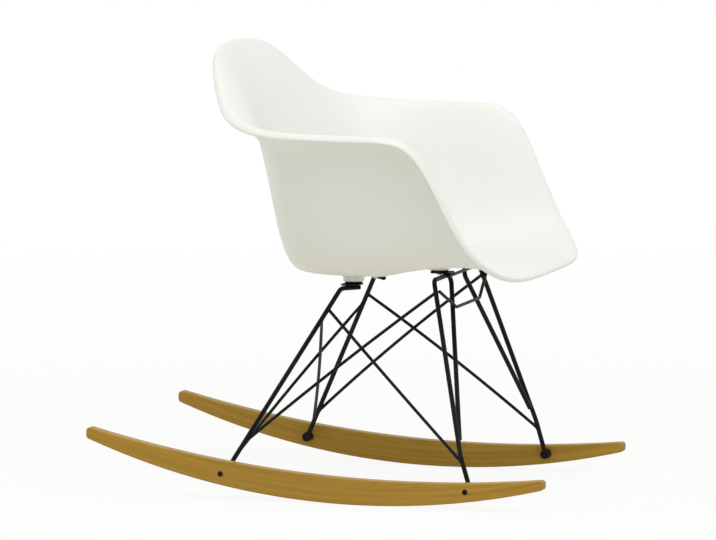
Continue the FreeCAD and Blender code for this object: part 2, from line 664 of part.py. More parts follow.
BOSS_SPARE = 30.0
SEARCH_HEIGHT = 120.0
bowl = closed_shell()
shell_shape = bowl
for side_name, side in SIDES:
    for end, mount_x, mount_y, bar_top in MOUNTS:
        bottom = bar_top + size("plate_thickness") + size("pad_thickness")
        x = side * mount_x
        shell_shape = shell_shape.fuse(shell_boss(bowl, x, mount_y, bottom))
        pocket = Part.makeCylinder(size("insert_diameter") / 2, size("insert_length"), Vector(x, mount_y, bottom))
        shell_shape = shell_shape.cut(pocket)
shell = doc.addObject("Part::Feature", "SeatShell")
shell.Shape = shell_shape.Solids[0] if len(shell_shape.Solids) == 1 else shell_shape
keep(shell, "seat_shell")

# Check everything, then write one file for each node
doc.recompute()
for item in doc.Objects:
    if "Invalid" in item.State or "Error" in item.State:
        raise RuntimeError("failed: " + item.Name)
for item in PARTS:
    if item.Shape.isNull() or not item.Shape.isValid():
        raise RuntimeError("bad shape: " + item.Label)
os.makedirs("parts", exist_ok=True)
for item in PARTS:
    item.Shape.exportStep("parts/%s.step" % item.Label)
    box = item.Shape.BoundBox
    print("%-32s solids %d  volume %9.1f  x %7.1f %7.1f  y %7.1f %7.1f  z %6.1f %6.1f" % (
        item.Label, len(item.Shape.Solids), item.Shape.Volume,
        box.XMin, box.XMax, box.YMin, box.YMax, box.ZMin, box.ZMax))
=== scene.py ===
# %% [markdown]
# A rocking armchair in moulded plastic, dressed for a studio picture.
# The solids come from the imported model, so every piece already has its real size and place.
# This lesson keeps the shapes that are right, gives each a finish made of shader nodes,
# and models again the small turned pieces that a plain solid can only hint at.

# %% Load the frame
import json
import math

import bmesh
import bpy
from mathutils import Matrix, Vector
from mathutils.bvhtree import BVHTree


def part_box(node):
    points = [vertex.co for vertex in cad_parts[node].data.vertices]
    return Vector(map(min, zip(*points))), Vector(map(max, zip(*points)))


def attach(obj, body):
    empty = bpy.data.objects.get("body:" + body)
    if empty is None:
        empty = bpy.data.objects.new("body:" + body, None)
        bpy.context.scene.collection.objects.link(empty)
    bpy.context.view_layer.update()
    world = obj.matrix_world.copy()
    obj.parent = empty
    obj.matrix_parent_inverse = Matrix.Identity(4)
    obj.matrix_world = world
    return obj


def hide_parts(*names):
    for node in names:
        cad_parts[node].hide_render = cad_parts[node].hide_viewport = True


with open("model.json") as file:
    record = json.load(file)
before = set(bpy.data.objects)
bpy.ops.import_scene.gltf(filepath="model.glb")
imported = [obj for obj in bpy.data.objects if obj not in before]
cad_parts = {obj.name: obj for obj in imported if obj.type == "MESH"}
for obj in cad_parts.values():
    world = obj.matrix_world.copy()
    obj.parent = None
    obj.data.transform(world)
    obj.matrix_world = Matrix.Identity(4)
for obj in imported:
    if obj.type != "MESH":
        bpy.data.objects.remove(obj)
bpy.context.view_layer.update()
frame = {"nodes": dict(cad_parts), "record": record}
nodes = frame["nodes"]

# %% [markdown]
# The camera stands on the sitter's right, a little in front and above, a long way off with a long lens.
# That is how catalogue pictures keep the two runners almost the same size. It could be turned by eye,
# but two angles and a distance are easier to check. The lens follows from how large the chair is in the
# frame.

# %% Camera
AZIMUTH = math.radians(-72.0)
ELEVATION = math.radians(7.03)
DISTANCE = 14.89
FOCAL_PIXELS = 8720.4
FRAME_WIDTH = 716
SENSOR = 36.0
FAR_CLIP = 100
LOOK_AT = Vector((0, 0, 0.367))


def toward_camera(azimuth, elevation):
    """The way from the chair to a camera at these angles."""
    flat = math.cos(elevation)
    return Vector((math.sin(azimuth) * flat, -math.cos(azimuth) * flat, math.sin(elevation)))


def aim(obj, place, target):
    """Put a camera or lamp somewhere and turn it to a target."""
    obj.location = place
    obj.rotation_euler = (target - place).to_track_quat("-Z", "Y").to_euler()


camera_data = bpy.data.cameras.new("catalogue_camera")
camera_data.sensor_width = SENSOR
camera_data.lens = FOCAL_PIXELS * SENSOR / FRAME_WIDTH
camera_data.clip_end = FAR_CLIP
camera = bpy.data.objects.new("catalogue_camera", camera_data)
bpy.context.scene.collection.objects.link(camera)
aim(camera, LOOK_AT + toward_camera(AZIMUTH, ELEVATION) * DISTANCE, LOOK_AT)
bpy.context.scene.camera = camera
print("lens", round(camera_data.lens, 1), "mm")

# %% [markdown]
# A white product on a white ground needs soft light from above, so that its outer side falls into a
# gentle shade. A wide lamp overhead, a little toward the camera, does that: it grazes the shell's outer
# side, and the rolled rim throws a soft shade just under itself. A weaker lamp in front opens the bowl,
# a third one behind lifts the rim, and a pale world fills the rest. One small strong lamp would be
# simpler, but its shadows would be hard and the white plastic would burn out.

# %% Light
LAMPS = [  # name, place, width in metres, watts
    ("overhead", (-1.2, -0.5, 3.5), 2.6, 51.0),
    ("front_fill", (-1.5, -4.0, 2.2), 2.4, 20.0),
    ("rear_rim", (0.4, 3.4, 2.6), 2.0, 13.0),
]
LAMP_TARGET = Vector((0, 0, 0.4))
for name, place, width, power in LAMPS:
    lamp_data = bpy.data.lights.new(name, "AREA")
    lamp_data.size = width
    lamp_data.energy = power
    lamp = bpy.data.objects.new(name, lamp_data)
    bpy.context.scene.collection.objects.link(lamp)
    aim(lamp, Vector(place), LAMP_TARGET)
bpy.context.scene.view_settings.view_transform = "Standard"
print("lamps", len(LAMPS))

# %% [markdown]
# The world, the floor and every finish are small networks of nodes. Many of these nodes only do a sum, or
# stretch a value from one range to another. An input holds either a value of its own or a link from another
# node, so one helper feeds a socket either way, and the networks below stay short enough to read.

# %% Node helpers
WHITE = (1.0, 1.0, 1.0)


def feed(tree, socket, value):
    """Give a socket a number or a colour, or link another node's output to it."""
    if isinstance(value, tuple):
        socket.default_value = (*value, 1)
    elif isinstance(value, (int, float)):
        socket.default_value = value
    else:
        tree.links.new(value, socket)


def maths(tree, operation, first, second=None):
    """One math node on one or two numbers or sockets."""
    node = tree.nodes.new("ShaderNodeMath")
    node.operation = operation
    feed(tree, node.inputs[0], first)
    if second is not None:
        feed(tree, node.inputs[1], second)
    return node.outputs[0]


def map_range(tree, source, low, high, to_low=0.0, to_high=1.0):
    """Stretch a value from one range to another, and cut it off at the ends."""
    node = tree.nodes.new("ShaderNodeMapRange")
    ends = {"From Min": low, "From Max": high, "To Min": to_low, "To Max": to_high}
    for name, value in {"Value": source, **ends}.items():
        feed(tree, node.inputs[name], value)
    return node.outputs["Result"]


def object_place(tree):
    """A surface point's place on its own object."""
    return tree.nodes.new("ShaderNodeTexCoord").outputs["Object"]


print("node helpers ready")

# %% [markdown]
# The world lights the chair with a pale grey that is a touch warm. Only what the camera, a mirror
# reflection or glass sees of it is white, so the backdrop is white without putting more light on the chair.
# A brighter world would whiten the backdrop as well, but it would wash the shade off the shell.

# %% World
WORLD_LEVEL = 0.57
WORLD_TINT = (1.0, 1.0, 0.925)


def seen_directly(tree):
    """A value of 1 for camera, glossy and transmission rays, 0 for the light that falls on things."""
    path = tree.nodes.new("ShaderNodeLightPath")
    either = maths(tree, "MAXIMUM", path.outputs["Is Camera Ray"], path.outputs["Is Glossy Ray"])
    return maths(tree, "MAXIMUM", either, path.outputs["Is Transmission Ray"])


def coloured(tree, kind, colour):
    """A plain shader of one colour."""
    node = tree.nodes.new(kind)
    feed(tree, node.inputs["Color"], colour)
    return node


def mix_to_output(tree, share, first, second, output_kind):
    """Send two shaders to the output, the second one by the given share."""
    mix = tree.nodes.new("ShaderNodeMixShader")
    feed(tree, mix.inputs["Fac"], share)
    tree.links.new(first.outputs[0], mix.inputs[1])
    tree.links.new(second.outputs[0], mix.inputs[2])
    tree.links.new(mix.outputs[0], tree.nodes.new(output_kind).inputs["Surface"])


world = bpy.data.worlds.new("studio")
bpy.context.scene.world = world
world.use_nodes = True
world_tree = world.node_tree
world_tree.nodes.clear()
lit = coloured(world_tree, "ShaderNodeBackground", WORLD_TINT)
lit.inputs["Strength"].default_value = WORLD_LEVEL
shown = coloured(world_tree, "ShaderNodeBackground", WHITE)
mix_to_output(world_tree, seen_directly(world_tree), lit, shown, "ShaderNodeOutputWorld")
print("world level", WORLD_LEVEL)

# %% [markdown]
# The floor is a wide sheet just under the runners. Seen directly it is mostly a white glow mixed with a
# pale matte surface, so the shadow of the runners still shows softly on it. Far from the chair only the
# glow is left, and the floor runs into the white backdrop without a line. A curved paper backdrop would
# hide that line too, but only from one side.

# %% Floor
FLOOR_HALF = 30.0
FLOOR_MATTE = (0.85, 0.85, 0.77)
GLOW_NEAR = 0.9
GLOW_FAR = 1.0
NEAR_REACH = 0.9
FAR_REACH = 3.5
floor_mesh = bpy.data.meshes.new("floor")
corners = [(-FLOOR_HALF, -FLOOR_HALF, 0), (FLOOR_HALF, -FLOOR_HALF, 0),
           (FLOOR_HALF, FLOOR_HALF, 0), (-FLOOR_HALF, FLOOR_HALF, 0)]
floor_mesh.from_pydata(corners, [], [(0, 1, 2, 3)])
floor = bpy.data.objects.new("floor", floor_mesh)
bpy.context.scene.collection.objects.link(floor)

floor_paint = bpy.data.materials.new("pale_floor")
floor_paint.use_nodes = True
floor_tree = floor_paint.node_tree
floor_tree.nodes.clear()
matte = coloured(floor_tree, "ShaderNodeBsdfDiffuse", FLOOR_MATTE)
glow = coloured(floor_tree, "ShaderNodeEmission", WHITE)
away = floor_tree.nodes.new("ShaderNodeVectorMath")
away.operation = "LENGTH"
floor_tree.links.new(object_place(floor_tree), away.inputs[0])
fade = map_range(floor_tree, away.outputs["Value"], NEAR_REACH, FAR_REACH, GLOW_NEAR, GLOW_FAR)
glow_share = maths(floor_tree, "MULTIPLY", seen_directly(floor_tree), fade)
mix_to_output(floor_tree, glow_share, matte, glow, "ShaderNodeOutputMaterial")
floor_mesh.materials.append(floor_paint)
print("floor", 2 * FLOOR_HALF, "m wide")

# %% [markdown]
# Several finishes share two effects, so each is a node group with named sockets, built once and placed in
# every material that needs it. The first is a fine grain: small bumps, and a roughness and a tone that
# wander slowly over the surface. Moulded plastic, powder coat, rubber and plating all have it, only at
# different sizes. A picture of a grain would do too, but it needs unwrapping and shows where it repeats.

# %% Grain group
NUMBER = "NodeSocketFloat"


def new_group(name, inputs, outputs):
    """A node group with named numbers going in and named sockets coming out."""
    group = bpy.data.node_groups.new(name, "ShaderNodeTree")
    for label, value in inputs.items():
        socket = group.interface.new_socket(label, in_out="INPUT", socket_type=NUMBER)
        socket.default_value = value
    for label, kind in outputs.items():
        group.interface.new_socket(label, in_out="OUTPUT", socket_type=kind)
    return group, group.nodes.new("NodeGroupInput").outputs, group.nodes.new("NodeGroupOutput").inputs


def noise(tree, place, scale, detail, rough=0.5):
    """A noise texture; the scale is a number or a socket."""
    node = tree.nodes.new("ShaderNodeTexNoise")
    values = {"Vector": place, "Scale": scale, "Detail": detail, "Roughness": rough}
    for name, value in values.items():
        feed(tree, node.inputs[name], value)
    return node.outputs["Fac"]


grain, given, result = new_group(
    "fine_grain",
    {"Grain Scale": 900.0, "Patch Scale": 6.0, "Roughness Low": 0.35, "Roughness High": 0.5},
    {"Height": NUMBER, "Roughness": NUMBER, "Patches": NUMBER})
fine = noise(grain, object_place(grain), given["Grain Scale"], detail=3.0, rough=0.6)
patches = noise(grain, object_place(grain), given["Patch Scale"], detail=4.0, rough=0.55)
rough = map_range(grain, patches, 0.3, 0.7, given["Roughness Low"], given["Roughness High"])
grain.links.new(fine, result["Height"])
grain.links.new(rough, result["Roughness"])
grain.links.new(patches, result["Patches"])
print("group", grain.name)

# %% [markdown]
# The second shared effect is wear. Coatings thin out on outside corners, and the geometry node's pointiness
# finds those. A noise breaks the mask up, because real wear is never an even line. Painting the wear by
# hand would do as well, but it would have to be painted again after every change of shape.

# %% Edge wear group
wear, given, result = new_group(
    "edge_wear", {"Start": 0.52, "Full": 0.6, "Breakup Scale": 120.0}, {"Mask": NUMBER})
pointiness = wear.nodes.new("ShaderNodeNewGeometry").outputs["Pointiness"]
edge = map_range(wear, pointiness, given["Start"], given["Full"])
broken = map_range(wear, noise(wear, object_place(wear), given["Breakup Scale"], detail=3.0), 0.42, 0.62)
wear.links.new(maths(wear, "MULTIPLY", edge, broken), result["Mask"])
print("group", wear.name)

# %% [markdown]
# Each finish starts from the same few steps: an empty material with one Principled shader, a way to place
# a group in it, a way to blend two colours by a mask, a bump, and a way to put the finish on a packed
# piece. Written once as helpers, they leave only what is special to a finish in its own cell.

# %% Material helpers
def finish_start(name, metallic=0.0):
    """An empty material with a Principled shader."""
    material = bpy.data.materials.new(name)
    material.use_nodes = True
    shader = material.node_tree.nodes["Principled BSDF"]
    shader.inputs["Metallic"].default_value = metallic
    return material, material.node_tree, shader


def place_group(tree, group, **values):
    """Put a group in a material with its own values."""
    node = tree.nodes.new("ShaderNodeGroup")
    node.node_tree = group
    for name, value in values.items():
        node.inputs[name.replace("_", " ")].default_value = value
    return node.outputs


def blend_colours(tree, mask, first, second):
    """The first colour where the mask is 0 and the second where it is 1."""
    node = tree.nodes.new("ShaderNodeMix")
    node.data_type = "RGBA"
    colour_a, colour_b = node.inputs[6], node.inputs[7]
    feed(tree, node.inputs["Factor"], mask)
    feed(tree, colour_a, first)
    feed(tree, colour_b, second)
    return node.outputs[2]


def bump(tree, shader, height, strength, distance):
    """Raise and sink the surface by a height."""
    node = tree.nodes.new("ShaderNodeBump")
    for name, value in {"Strength": strength, "Distance": distance, "Height": height}.items():
        feed(tree, node.inputs[name], value)
    tree.links.new(node.outputs["Normal"], shader.inputs["Normal"])


def dress(name, material):
    """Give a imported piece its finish."""
    nodes[name].data.materials.clear()
    nodes[name].data.materials.append(material)


print("material helpers ready")

# %% [markdown]
# The shell is polypropylene moulded in a textured tool. Its white is a touch warm, it has a satin skin,
# and its colour and gloss drift slightly where the hot plastic flowed. A faint rub shows on the rim.
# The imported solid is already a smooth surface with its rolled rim, so it needs a finish and nothing more.

# %% Shell plastic
SHELL_WHITE = (0.885, 0.885, 0.882)
SHELL_FLOW = (0.867, 0.87, 0.855)
SHELL_RUB = (0.905, 0.905, 0.9)
shell_plastic, tree, shader = finish_start("shell_plastic_white")
skin = place_group(tree, grain, Grain_Scale=1400.0, Patch_Scale=5.0, Roughness_Low=0.38, Roughness_High=0.5)
rub = place_group(tree, wear, Start=0.515, Full=0.56, Breakup_Scale=70.0)
flow = map_range(tree, skin["Patches"], 0.35, 0.65)
tone = blend_colours(tree, flow, SHELL_WHITE, SHELL_FLOW)
tone = blend_colours(tree, rub["Mask"], tone, SHELL_RUB)
tree.links.new(tone, shader.inputs["Base Color"])
tree.links.new(skin["Roughness"], shader.inputs["Roughness"])
shader.inputs["Specular IOR Level"].default_value = 0.4
bump(tree, shader, skin["Height"], strength=0.18, distance=0.0003)
dress("seat_shell", shell_plastic)
print("shell faces", len(nodes["seat_shell"].data.polygons))

# %% [markdown]
# The rods are powder coated after welding: a slightly pebbled black skin, half matt, worn to grey only at
# the sharpest corners. A metallic finish would be the first idea for steel, but what one sees is the coat,
# and that is a plastic.

# %% Powder coat
COAT_BLACK = (0.003, 0.003, 0.003)
COAT_GREY = (0.008, 0.008, 0.008)
COAT_WORN = (0.05, 0.047, 0.044)
STEEL_WORDS = ("hairpin", "rear_leg", "brace", "tie_bar", "rail", "mount_plate", "foot_boss")
powder_coat, tree, shader = finish_start("powder_coat_black")
pebble = place_group(
    tree, grain, Grain_Scale=2200.0, Patch_Scale=14.0, Roughness_Low=0.34, Roughness_High=0.5)
chips = place_group(tree, wear, Start=0.66, Full=0.82, Breakup_Scale=160.0)
cloudy = map_range(tree, pebble["Patches"], 0.35, 0.7)
tone = blend_colours(tree, cloudy, COAT_BLACK, COAT_GREY)
tone = blend_colours(tree, chips["Mask"], tone, COAT_WORN)
tree.links.new(tone, shader.inputs["Base Color"])
tree.links.new(pebble["Roughness"], shader.inputs["Roughness"])
shader.inputs["Specular IOR Level"].default_value = 0.13
bump(tree, shader, pebble["Height"], strength=0.2, distance=0.00008)
coated = [name for name in nodes if any(word in name for word in STEEL_WORDS)]
for name in coated:
    dress(name, powder_coat)
print("coated pieces", len(coated))

# %% [markdown]
# The runners are maple, bent to their curve, so the grain bends with them. To follow the bend, the texture
# has to know the arc's radius. It could be typed in, but it is safer to measure it: the runners touch the
# floor at a known place, and the lowest point somewhere else along them gives the circle through both.

# %% The bend of the boards
PROBE_Y = 0.35
PROBE_REACH = 0.03
contact = Vector(frame["record"]["mounts"][0]["pos_m"])
runner_mesh = nodes["rocker_runner_left"].data
probed = [v.co for v in runner_mesh.vertices if abs(v.co.y - PROBE_Y) < PROBE_REACH]
lowest = min(probed, key=lambda point: point.z)
runner_radius = ((lowest.y - contact.y) ** 2 + lowest.z ** 2) / (2 * lowest.z)
print("runner radius", round(runner_radius, 3), "m")

# %% [markdown]
# A straight wood texture would run out through the edges, as if the runners were sawn from a plank. So this
# group bends the texture's places instead: how far along the arc a point lies, and how deep below the arc.

# %% Place along a bent board
bent, given, result = new_group(
    "bent_board_place", {"Centre Along": 0.0, "Radius": 1.0}, {"Place": "NodeSocketVector"})
split = bent.nodes.new("ShaderNodeSeparateXYZ")
bent.links.new(object_place(bent), split.inputs[0])
run = maths(bent, "SUBTRACT", split.outputs["Y"], given["Centre Along"])
drop = maths(bent, "SUBTRACT", given["Radius"], split.outputs["Z"])
along = maths(bent, "MULTIPLY", maths(bent, "ARCTAN2", run, drop), given["Radius"])
squares = maths(bent, "ADD", maths(bent, "MULTIPLY", run, run), maths(bent, "MULTIPLY", drop, drop))
depth = maths(bent, "SUBTRACT", given["Radius"], maths(bent, "SQRT", squares))
join = bent.nodes.new("ShaderNodeCombineXYZ")
for axis, source in {"X": split.outputs["X"], "Y": along, "Z": depth}.items():
    bent.links.new(source, join.inputs[axis])
bent.links.new(join.outputs[0], result["Place"])
print("group", bent.name)

# %% [markdown]
# Three layers of noise make the wood: fine fibres, broad growth lines, and short dark flecks. Each is
# stretched by its own amount along the board. A wave texture would draw growth lines too, but so evenly
# that they look printed.

# %% Maple grain
MAPLE_LIGHT = (0.505, 0.299, 0.053)
MAPLE_MID = (0.395, 0.223, 0.036)
MAPLE_DARK = (0.25, 0.122, 0.018)
maple, tree, shader = finish_start("maple_lacquered")
board = place_group(tree, bent, Centre_Along=contact.y, Radius=runner_radius)["Place"]


def board_noise(tree, waves, detail, rough=0.5):
    """Noise on the board, with so many waves to a metre across, along and through it."""
    stretch = tree.nodes.new("ShaderNodeVectorMath")
    stretch.operation = "MULTIPLY"
    stretch.inputs[1].default_value = waves
    tree.links.new(board, stretch.inputs[0])
    return noise(tree, stretch.outputs[0], 1.0, detail, rough)


fibres = board_noise(tree, (900, 14, 900), detail=4.0, rough=0.65)
sweep = board_noise(tree, (60, 2.2, 160), detail=3.0)
flecks = board_noise(tree, (1400, 90, 1400), detail=2.0)
tone = blend_colours(tree, map_range(tree, sweep, 0.32, 0.68), MAPLE_LIGHT, MAPLE_MID)
tone = blend_colours(tree, map_range(tree, fibres, 0.5, 0.8, 0.0, 0.55), tone, MAPLE_DARK)
tone = blend_colours(tree, map_range(tree, flecks, 0.66, 0.74, 0.0, 0.6), tone, MAPLE_DARK)
print("finish", maple.name)

# %% [markdown]
# On the tips the cut ends of the fibres show as a darker tone with pores. The surface's own direction finds
# them, so no face has to be picked by hand. The lacquer is thin and satin, and the fibres roughen it. Its
# gloss is kept low: at a flat angle a high one would veil the golden brown with the white studio.

# %% Cut ends and lacquer
MAPLE_END = (0.3, 0.165, 0.03)
facing = tree.nodes.new("ShaderNodeSeparateXYZ")
tree.links.new(tree.nodes.new("ShaderNodeTexCoord").outputs["Normal"], facing.inputs[0])
end_face = map_range(tree, maths(tree, "ABSOLUTE", facing.outputs["Y"]), 0.6, 0.85, 0.0, 0.7)
pores = map_range(tree, board_noise(tree, (1800, 200, 1800), detail=1.0), 0.55, 0.7)
tone = blend_colours(tree, end_face, tone, MAPLE_END)
tone = blend_colours(tree, maths(tree, "MULTIPLY", end_face, pores), tone, MAPLE_DARK)
tree.links.new(tone, shader.inputs["Base Color"])
tree.links.new(map_range(tree, fibres, 0.3, 0.7, 0.3, 0.46), shader.inputs["Roughness"])
shader.inputs["Specular IOR Level"].default_value = 0.1
shader.inputs["Coat Weight"].default_value = 0.04
shader.inputs["Coat Roughness"].default_value = 0.3
bump(tree, shader, fibres, strength=0.25, distance=0.0002)
for name in ("rocker_runner_left", "rocker_runner_right"):
    dress(name, maple)
print("runners finished")

# %% [markdown]
# Rubber is darker and flatter than the coat, with a bloom of grey dust in its patches. It is moulded like
# the shell, so the same grain group serves it, with small patches and hardly any gloss.

# %% Rubber
RUBBER_BLACK = (0.022, 0.022, 0.023)
RUBBER_BLOOM = (0.05, 0.05, 0.048)
rubber, tree, shader = finish_start("mount_rubber_black")
bloom = place_group(
    tree, grain, Grain_Scale=1600.0, Patch_Scale=60.0, Roughness_Low=0.62, Roughness_High=0.85)
dusty = map_range(tree, bloom["Patches"], 0.45, 0.7)
tree.links.new(blend_colours(tree, dusty, RUBBER_BLACK, RUBBER_BLOOM), shader.inputs["Base Color"])
tree.links.new(bloom["Roughness"], shader.inputs["Roughness"])
bump(tree, shader, bloom["Height"], strength=0.25, distance=0.0001)
print("rubber ready")

# %% [markdown]
# Screws, bolts, discs and inserts are bare or plated metal. They share one recipe: a clean and a dull tone
# in patches, a brushed roughness, and brighter corners where a tool or a thread has rubbed. Only the tones
# and the gloss differ, so one function makes all three.

# %% Zinc, black oxide and brass
def plated(name, clean, dull, worn, gloss):
    """A metal finish: two tones in patches, brushed roughness and brighter corners."""
    material, tree, shader = finish_start(name, metallic=1.0)
    skin = place_group(
        tree, grain, Grain_Scale=3000.0, Patch_Scale=140.0, Roughness_Low=gloss[0], Roughness_High=gloss[1])
    corners = place_group(tree, wear, Start=0.53, Full=0.62, Breakup_Scale=400.0)
    tone = blend_colours(tree, map_range(tree, skin["Patches"], 0.4, 0.65), clean, dull)
    tone = blend_colours(tree, corners["Mask"], tone, worn)
    tree.links.new(tone, shader.inputs["Base Color"])
    tree.links.new(skin["Roughness"], shader.inputs["Roughness"])
    bump(tree, shader, skin["Height"], strength=0.15, distance=0.0001)
    return material


zinc = plated(
    "zinc_plate", clean=(0.52, 0.52, 0.54), dull=(0.4, 0.39, 0.37), worn=(0.65, 0.65, 0.66),
    gloss=(0.28, 0.45))
black_oxide = plated(
    "black_oxide", clean=(0.03, 0.022, 0.016), dull=(0.02, 0.014, 0.01), worn=(0.12, 0.1, 0.085),
    gloss=(0.35, 0.5))
brass = plated(
    "insert_brass", clean=(0.68, 0.5, 0.22), dull=(0.52, 0.37, 0.16), worn=(0.8, 0.64, 0.34),
    gloss=(0.25, 0.4))
dress("shell_threaded_inserts", brass)
print("small finishes ready")

# %% [markdown]
# Small turned pieces, such as a washer, a rubber mount or a bolt head, are all a profile spun round an axis.
# The ready spin tool would do, but it needs a drawn profile each time. Here a list of radius and height
# pairs becomes rings of points, and one helper joins any rings by quads. The weld beads use it too.

# %% Spin helper
SPIN_SIDES = 48
UP = Vector((0, 0, 1))


def turn_to(axis):
    """The turn that brings the upright axis onto another one."""
    return UP.rotation_difference(axis).to_matrix()


def circle(radius, height, sides):
    """Points evenly spread round the upright axis."""
    points = []
    for step in range(sides):
        angle = 2 * math.pi * step / sides
        points.append(Vector((radius * math.cos(angle), radius * math.sin(angle), height)))
    return points


def lay_ring(bm, points, place, turn):
    """Mesh points for a ring, turned and moved to its place."""
    return [bm.verts.new(place + turn @ point) for point in points]


def join_rings(bm, rings):
    """Quads between each ring and the next."""
    for ring, above in zip(rings, rings[1:]):
        for step in range(len(ring)):
            after = (step + 1) % len(ring)
            bm.faces.new((ring[step], ring[after], above[after], above[step]))


def spin(bm, profile, centre, axis, sides=SPIN_SIDES):
    """A closed profile of radius and height pairs, spun round an axis."""
    turn = turn_to(axis)
    rings = [lay_ring(bm, circle(radius, height, sides), centre, turn) for radius, height in profile]
    join_rings(bm, rings + rings[:1])


print("spin helper ready")

# %% [markdown]
# A built mesh still has to become a piece of the chair. It is shaded smooth with its sharp corners kept,
# which gives round sides without a modifier. Then it is tied to the chair's one body, and told which of the
# chair's materials it stands for.

# %% Piece helpers
SHARP_ANGLE = math.radians(35)


def add_piece(name, mesh_builder, material):
    """A finished mesh object that rides on the chair's one body."""
    mesh = bpy.data.meshes.new(name)
    bm = bmesh.new()
    mesh_builder(bm)
    bmesh.ops.recalc_face_normals(bm, faces=bm.faces)
    bm.to_mesh(mesh)
    bm.free()
    mesh.materials.append(material)
    for polygon in mesh.polygons:
        polygon.use_smooth = True
    mesh.set_sharp_from_angle(angle=SHARP_ANGLE)
    piece = bpy.data.objects.new(name, mesh)
    bpy.context.scene.collection.objects.link(piece)
    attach(piece, "root")
    return piece


def middle(name):
    """The middle of a node's box."""
    low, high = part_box(name)
    return (Vector(low) + Vector(high)) / 2


print("piece helpers ready")

# %% [markdown]
# A rubber mount is a short puck that bulges between two thin steel discs, which are bonded to it. The discs
# keep the node's full width, and the rubber's waist is drawn in a little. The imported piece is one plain
# cylinder. Scaling it would not bring the discs out, so the puck and the discs are spun anew in its box.

# %% Rubber mounts
SIDES = ("left", "right")
CORNERS = [(end, side) for end in ("front", "rear") for side in SIDES]
DISC = 0.0006
DISC_EASE = DISC * 0.3
WAIST = 0.0016
BULGE_SHARE = 0.75
BULGE_STEPS = 8
BORE = 0.00275


def puck(bm, foot, radius, height):
    """The rubber between the discs, bulging halfway up."""
    outline = [(BORE, DISC), (radius - WAIST, DISC)]
    for step in range(1, BULGE_STEPS):
        part = step / BULGE_STEPS
        bulge = math.sin(math.pi * part) * WAIST * BULGE_SHARE
        outline.append((radius - WAIST + bulge, DISC + part * (height - 2 * DISC)))
    outline += [(radius - WAIST, height - DISC), (BORE, height - DISC)]
    spin(bm, outline, foot, UP)


def discs(bm, foot, radius, height):
    """The two steel discs, one under the rubber and one over it."""
    for start in (0.0, height - DISC):
        ring = [(BORE, start), (radius - DISC_EASE, start), (radius, start + DISC_EASE),
                (radius, start + DISC - DISC_EASE), (radius - DISC_EASE, start + DISC), (BORE, start + DISC)]
        spin(bm, ring, foot, UP)


for end, side in CORNERS:
    node = "rubber_mount_%s_%s" % (end, side)
    low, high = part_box(node)
    radius = (high[0] - low[0]) / 2
    height = high[2] - low[2]
    sizes = (middle(node) - Vector((0, 0, height / 2)), radius, height)
    rubber_piece = add_piece(
        "mount_puck_%s_%s" % (end, side), lambda bm: puck(bm, *sizes), rubber)
    add_piece(
        "mount_discs_%s_%s" % (end, side), lambda bm: discs(bm, *sizes), black_oxide)
    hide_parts(node)
    print(node, "radius", round(radius, 4), "height", round(height, 4))

# %% [markdown]
# Under each plate a pan-head screw pulls the mount tight, and its head has a cross recess. The recess could
# be cut with a boolean. On so small a head it is simpler to make the top as a fine net of rings, and to push
# in the points that lie within one of two crossing slots.

# %% Cross-recess heads
SCREW_HEAD = 0.0046
HEAD_HIGH = 0.0032
HEAD_DOME = 0.55
HEAD_SKIRT = 0.45
HEAD_RINGS = 14
HEAD_SIDES = 64
SLOT_HALF = 0.00055
SLOT_LONG = 0.0026
SLOT_DEEP = 0.0014


def cross_head(bm, centre, axis):
    """A domed head standing on a plane, with a cross sunk into its top."""
    turn = turn_to(axis)
    rows = []
    for index in range(HEAD_RINGS + 1):
        part = index / HEAD_RINGS
        points = circle(SCREW_HEAD * part, HEAD_HIGH - HEAD_HIGH * HEAD_DOME * part ** 4, HEAD_SIDES)
        for point in points:
            across, away = sorted((abs(point.x), abs(point.y)))
            if across < SLOT_HALF and away < SLOT_LONG:
                point.z -= SLOT_DEEP
        rows.append(lay_ring(bm, points, centre, turn))
    skirt = turn @ Vector((0, 0, HEAD_HIGH * HEAD_SKIRT))
    rows.append([bm.verts.new(v.co - skirt) for v in rows[-1]])
    join_rings(bm, rows[1:])
    hub = rows[0][0]
    for step in range(HEAD_SIDES):
        bm.faces.new((hub, rows[1][step], rows[1][(step + 1) % HEAD_SIDES]))
    for spare in rows[0][1:]:
        bm.verts.remove(spare)
    bm.faces.new(rows[-1])


print("recess", 2 * SLOT_LONG, "m across")

# %% [markdown]
# Each screw has a flat washer with eased rims between its head and the plate. All four screws are one kind
# of part, so the heads make one piece and the washers another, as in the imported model.

# %% Mount screws and washers
SHANK = 0.0025
WASHER = 0.0012
WASHER_WIDE = 0.0056
WASHER_EASE = WASHER * 0.25
DOWN = Vector((0, 0, -1))
mount_feet = []
for end, side in CORNERS:
    low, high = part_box("mount_plate_%s_%s" % (end, side))
    foot = middle("rubber_mount_%s_%s" % (end, side))
    foot.z = low[2]
    mount_feet.append(foot)


def screw_heads(bm):
    for foot in mount_feet:
        cross_head(bm, foot + DOWN * WASHER, DOWN)


def screw_washers(bm):
    outer = WASHER_WIDE - WASHER_EASE
    ring = [(SHANK, 0), (outer, 0), (WASHER_WIDE, WASHER_EASE), (WASHER_WIDE, WASHER - WASHER_EASE),
            (outer, WASHER), (SHANK, WASHER)]
    for foot in mount_feet:
        spin(bm, ring, foot, DOWN)


heads = add_piece("mount_screw_heads", screw_heads, zinc)
rings = add_piece("mount_screw_washers", screw_washers, zinc)
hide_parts("mount_screws")
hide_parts("mount_washers")
print("mount screws", len(mount_feet))

# %% [markdown]
# The foot bolts sit sunk in the runners' outer faces: a round head with a hexagon socket. The head is a
# stack of loops with the same number of points each, round outside and six-sided inside. So plain quads
# join them, and no boolean cut is needed, which would leave long thin faces.

